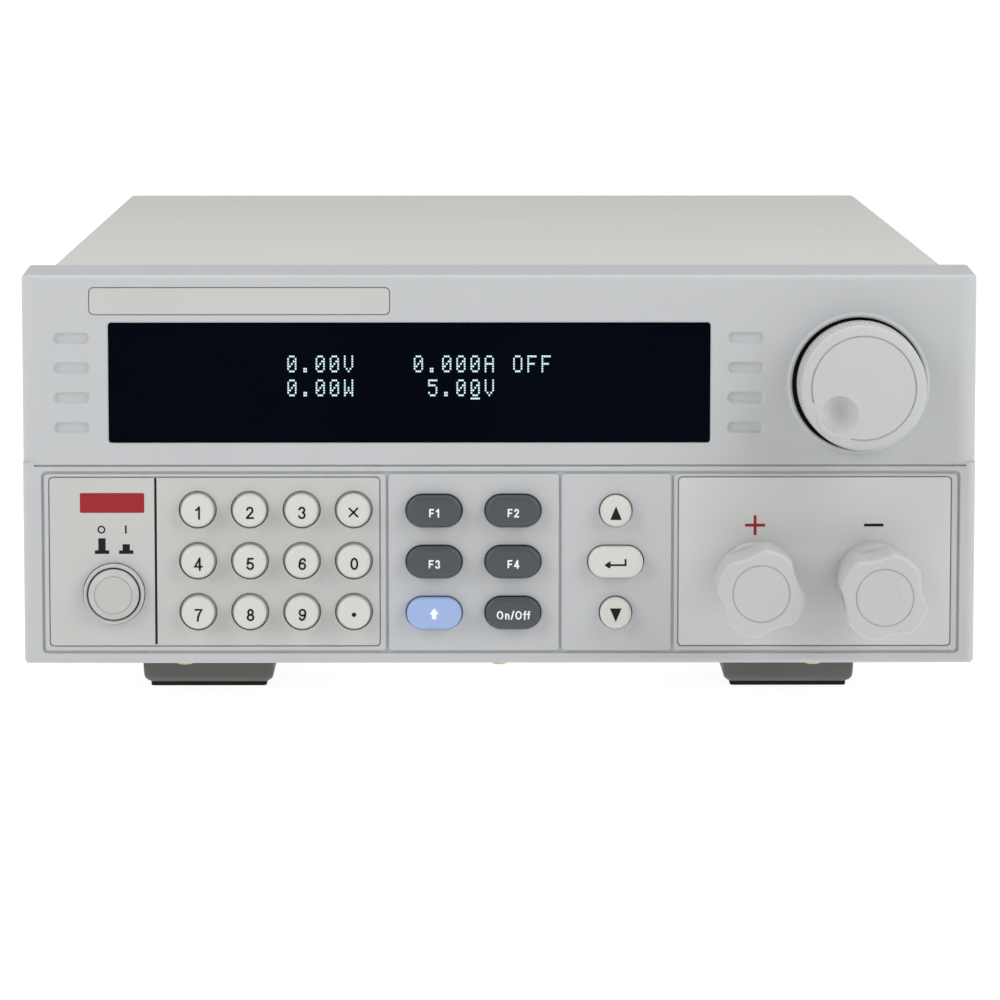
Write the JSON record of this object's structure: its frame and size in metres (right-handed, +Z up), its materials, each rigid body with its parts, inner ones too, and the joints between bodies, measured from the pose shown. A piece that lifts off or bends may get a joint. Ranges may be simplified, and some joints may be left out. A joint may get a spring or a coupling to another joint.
{
  "type": "dc electronic load",
  "caption": "Bench electronic load in a half-rack case with a display, keypad, jog knob, latching mains button and screw-down binding posts.",
  "frame": {"origin": "on the floor under the middle of the object's bounding box", "axes": "+Z up, the front panel with its keys faces -Y, +X is to the right seen from the front"},
  "size_m": [0.2144, 0.3894, 0.0995],
  "materials": {
    "bezel_plastic": "fine-textured moulding",
    "overlay_film": "printed polyester film",
    "cover_paint": "fine powder coat",
    "tray_steel": "zinc-plated sheet",
    "tinted_window": "polished tinted acrylic",
    "tube_glass": "vacuum-fluorescent tube",
    "circuit_board": "solder-masked laminate",
    "black_plastic": "moulded",
    "foot_plastic": "moulded",
    "rubber": "soft pad",
    "brass": "plated",
    "copper": "bare strap",
    "screw_steel": "zinc-plated",
    "heatsink_alloy": "extruded",
    "core_steel": "varnished laminations",
    "winding": "taped winding",
    "white_key": "satin",
    "dark_key": "satin",
    "blue_key": "satin",
    "knob_plastic": "soft-touch",
    "post_plastic": "satin",
    "port_metal": "plated shell",
    "terminal_green": "moulded"
  },
  "bodies": {
    "chassis": {"front_bezel": "bezel_plastic", "display_lens": "tinted_window", "display_tube": "tube_glass", "front_board": "circuit_board", "tact_switches": "black_plastic", "name_plate": "overlay_film", "keypad_overlay": "overlay_film", "input_overlay": "overlay_film", "top_cover": "cover_paint", "base_tray": "tray_steel", "rear_panel": "cover_paint", "feet": "foot_plastic", "foot_pads": "rubber", "bezel_screws": "brass", "case_screws": "screw_steel", "encoder_body": "screw_steel", "post_studs": "brass", "post_insulators": "post_plastic", "post_nuts": "screw_steel", "busbars": "copper", "heatsinks": "heatsink_alloy", "mosfets": "black_plastic", "power_board": "circuit_board", "fan_frame": "black_plastic", "transformer_core": "core_steel", "transformer_coil": "winding", "main_board": "circuit_board", "inlet_socket": "black_plastic", "comm_port": "port_metal", "sense_terminal": "terminal_green", "power_switch": "black_plastic"},
    "key_1_body": {"key_1": "white_key"},
    "key_2_body": {"key_2": "white_key"},
    "key_3_body": {"key_3": "white_key"},
    "key_4_body": {"key_4": "white_key"},
    "key_5_body": {"key_5": "white_key"},
    "key_6_body": {"key_6": "white_key"},
    "key_7_body": {"key_7": "white_key"},
    "key_8_body": {"key_8": "white_key"},
    "key_9_body": {"key_9": "white_key"},
    "key_0_body": {"key_0": "white_key"},
    "key_point_body": {"key_point": "white_key"},
    "key_escape_body": {"key_escape": "white_key"},
    "func_key_1_body": {"func_key_1": "dark_key"},
    "func_key_2_body": {"func_key_2": "dark_key"},
    "func_key_3_body": {"func_key_3": "dark_key"},
    "func_key_4_body": {"func_key_4": "dark_key"},
    "shift_key_body": {"shift_key": "blue_key"},
    "on_off_key_body": {"on_off_key": "dark_key"},
    "up_key_body": {"up_key": "white_key"},
    "down_key_body": {"down_key": "white_key"},
    "enter_key_body": {"enter_key": "white_key"},
    "power_button_body": {"power_button": "white_key"},
    "jog_knob": {"encoder_knob": "knob_plastic", "encoder_shaft": "screw_steel"},
    "post_clamp_pos_body": {"post_clamp_pos": "brass"},
    "post_knob_pos_body": {"post_knob_pos": "post_plastic"},
    "post_clamp_neg_body": {"post_clamp_neg": "brass"},
    "post_knob_neg_body": {"post_knob_neg": "post_plastic"},
    "fan_rotor_body": {"fan_rotor": "black_plastic"}
  },
  "joints": [
    {"name": "key_1_press", "type": "slide", "parent": "chassis", "child": "key_1_body", "axis": [0, 1, 0], "range_m": [0, 0.001], "stiffness_N_per_m": 800, "springref_m": -0.001},
    {"name": "key_2_press", "type": "slide", "parent": "chassis", "child": "key_2_body", "axis": [0, 1, 0], "range_m": [0, 0.001], "stiffness_N_per_m": 800, "springref_m": -0.001},
    {"name": "key_3_press", "type": "slide", "parent": "chassis", "child": "key_3_body", "axis": [0, 1, 0], "range_m": [0, 0.001], "stiffness_N_per_m": 800, "springref_m": -0.001},
    {"name": "key_4_press", "type": "slide", "parent": "chassis", "child": "key_4_body", "axis": [0, 1, 0], "range_m": [0, 0.001], "stiffness_N_per_m": 800, "springref_m": -0.001},
    {"name": "key_5_press", "type": "slide", "parent": "chassis", "child": "key_5_body", "axis": [0, 1, 0], "range_m": [0, 0.001], "stiffness_N_per_m": 800, "springref_m": -0.001},
    {"name": "key_6_press", "type": "slide", "parent": "chassis", "child": "key_6_body", "axis": [0, 1, 0], "range_m": [0, 0.001], "stiffness_N_per_m": 800, "springref_m": -0.001},
    {"name": "key_7_press", "type": "slide", "parent": "chassis", "child": "key_7_body", "axis": [0, 1, 0], "range_m": [0, 0.001], "stiffness_N_per_m": 800, "springref_m": -0.001},
    {"name": "key_8_press", "type": "slide", "parent": "chassis", "child": "key_8_body", "axis": [0, 1, 0], "range_m": [0, 0.001], "stiffness_N_per_m": 800, "springref_m": -0.001},
    {"name": "key_9_press", "type": "slide", "parent": "chassis", "child": "key_9_body", "axis": [0, 1, 0], "range_m": [0, 0.001], "stiffness_N_per_m": 800, "springref_m": -0.001},
    {"name": "key_0_press", "type": "slide", "parent": "chassis", "child": "key_0_body", "axis": [0, 1, 0], "range_m": [0, 0.001], "stiffness_N_per_m": 800, "springref_m": -0.001},
    {"name": "key_point_press", "type": "slide", "parent": "chassis", "child": "key_point_body", "axis": [0, 1, 0], "range_m": [0, 0.001], "stiffness_N_per_m": 800, "springref_m": -0.001},
    {"name": "key_escape_press", "type": "slide", "parent": "chassis", "child": "key_escape_body", "axis": [0, 1, 0], "range_m": [0, 0.001], "stiffness_N_per_m": 800, "springref_m": -0.001},
    {"name": "func_key_1_press", "type": "slide", "parent": "chassis", "child": "func_key_1_body", "axis": [0, 1, 0], "range_m": [0, 0.001], "stiffness_N_per_m": 800, "springref_m": -0.001},
    {"name": "func_key_2_press", "type": "slide", "parent": "chassis", "child": "func_key_2_body", "axis": [0, 1, 0], "range_m": [0, 0.001], "stiffness_N_per_m": 800, "springref_m": -0.001},
    {"name": "func_key_3_press", "type": "slide", "parent": "chassis", "child": "func_key_3_body", "axis": [0, 1, 0], "range_m": [0, 0.001], "stiffness_N_per_m": 800, "springref_m": -0.001},
    {"name": "func_key_4_press", "type": "slide", "parent": "chassis", "child": "func_key_4_body", "axis": [0, 1, 0], "range_m": [0, 0.001], "stiffness_N_per_m": 800, "springref_m": -0.001},
    {"name": "shift_key_press", "type": "slide", "parent": "chassis", "child": "shift_key_body", "axis": [0, 1, 0], "range_m": [0, 0.001], "stiffness_N_per_m": 800, "springref_m": -0.001},
    {"name": "on_off_key_press", "type": "slide", "parent": "chassis", "child": "on_off_key_body", "axis": [0, 1, 0], "range_m": [0, 0.001], "stiffness_N_per_m": 800, "springref_m": -0.001},
    {"name": "up_key_press", "type": "slide", "parent": "chassis", "child": "up_key_body", "axis": [0, 1, 0], "range_m": [0, 0.001], "stiffness_N_per_m": 800, "springref_m": -0.001},
    {"name": "down_key_press", "type": "slide", "parent": "chassis", "child": "down_key_body", "axis": [0, 1, 0], "range_m": [0, 0.001], "stiffness_N_per_m": 800, "springref_m": -0.001},
    {"name": "enter_key_press", "type": "slide", "parent": "chassis", "child": "enter_key_body", "axis": [0, 1, 0], "range_m": [0, 0.001], "stiffness_N_per_m": 800, "springref_m": -0.001},
    {"name": "power_button_press", "type": "slide", "parent": "chassis", "child": "power_button_body", "axis": [0, -1, 0], "range_m": [-0.0005, 0.003]},
    {"name": "jog_turn", "type": "hinge", "parent": "chassis", "child": "jog_knob", "pos_m": [0.0809, -0.16125, 0.0746], "axis": [0, -1, 0], "continuous": true},
    {"name": "post_slide_pos", "type": "slide", "parent": "chassis", "child": "post_clamp_pos_body", "axis": [0, -1, 0], "range_m": [0, 0.007]},
    {"name": "post_turn_pos", "type": "hinge", "parent": "post_clamp_pos_body", "child": "post_knob_pos_body", "pos_m": [0.0576, -0.16725, 0.0304], "axis": [0, -1, 0], "range_deg": [0, 2520]},
    {"name": "post_slide_neg", "type": "slide", "parent": "chassis", "child": "post_clamp_neg_body", "axis": [0, -1, 0], "range_m": [-0.0065, 0.0005]},
    {"name": "post_turn_neg", "type": "hinge", "parent": "post_clamp_neg_body", "child": "post_knob_neg_body", "pos_m": [0.08435, -0.16725, 0.0304], "axis": [0, -1, 0], "range_deg": [-2340, 180]},
    {"name": "fan_spin", "type": "hinge", "parent": "chassis", "child": "fan_rotor_body", "pos_m": [0.045, 0.16875, 0.055], "axis": [0, -1, 0], "continuous": true}
  ],
  "couplings": [
    {"joint": "post_turn_pos", "follows": "post_slide_pos", "rad_per_m": 6283.2},
    {"joint": "post_turn_neg", "follows": "post_slide_neg", "rad_per_m": 6283.2}
  ]
}
